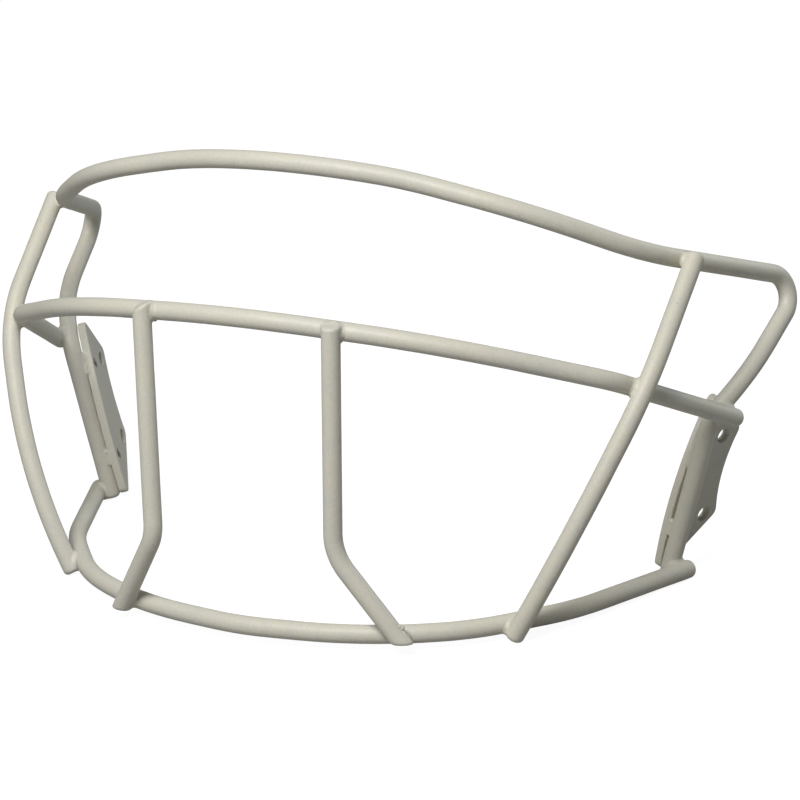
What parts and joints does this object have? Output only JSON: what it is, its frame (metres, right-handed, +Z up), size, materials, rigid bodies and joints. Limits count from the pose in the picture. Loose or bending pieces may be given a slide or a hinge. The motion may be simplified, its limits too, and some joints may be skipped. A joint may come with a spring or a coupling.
{
  "type": "helmet face guard",
  "caption": "Welded wire face guard for a batting or catching helmet: bent bars round the face, uprights, and flat side plates with screw holes.",
  "frame": {"origin": "on the ground, under the middle of the guard's box, as it stands on its bar ends", "axes": "+X to the wearer's left, +Y towards the back of the wearer's head, +Z up; the front faces -Y"},
  "size_m": [0.2184, 0.1174, 0.1201],
  "materials": {
    "coated_wire": "satin ivory coat on steel wire",
    "coated_plate": "satin ivory coat on stamped steel",
    "coated_weld": "satin ivory coat over weld metal"
  },
  "bodies": {
    "root": {"brow_bar": "coated_wire", "brow_outer_weld_left": "coated_weld", "brow_outer_weld_right": "coated_weld", "cheek_bar": "coated_wire", "cheek_inner_weld_left": "coated_weld", "cheek_inner_weld_right": "coated_weld", "cheek_leg_weld_left": "coated_weld", "cheek_leg_weld_right": "coated_weld", "cheek_outer_weld_left": "coated_weld", "cheek_outer_weld_right": "coated_weld", "chin_bar": "coated_wire", "chin_inner_weld_left": "coated_weld", "chin_inner_weld_right": "coated_weld", "chin_leg_weld_left": "coated_weld", "chin_leg_weld_right": "coated_weld", "chin_outer_weld_left": "coated_weld", "chin_outer_weld_right": "coated_weld", "inner_upright_left": "coated_wire", "inner_upright_right": "coated_wire", "mounting_plate_left": "coated_plate", "mounting_plate_right": "coated_plate", "outer_upright_left": "coated_wire", "outer_upright_right": "coated_wire", "plate_lower_weld_left": "coated_weld", "plate_lower_weld_right": "coated_weld", "plate_upper_weld_left": "coated_weld", "plate_upper_weld_right": "coated_weld"}
  },
  "joints": []
}
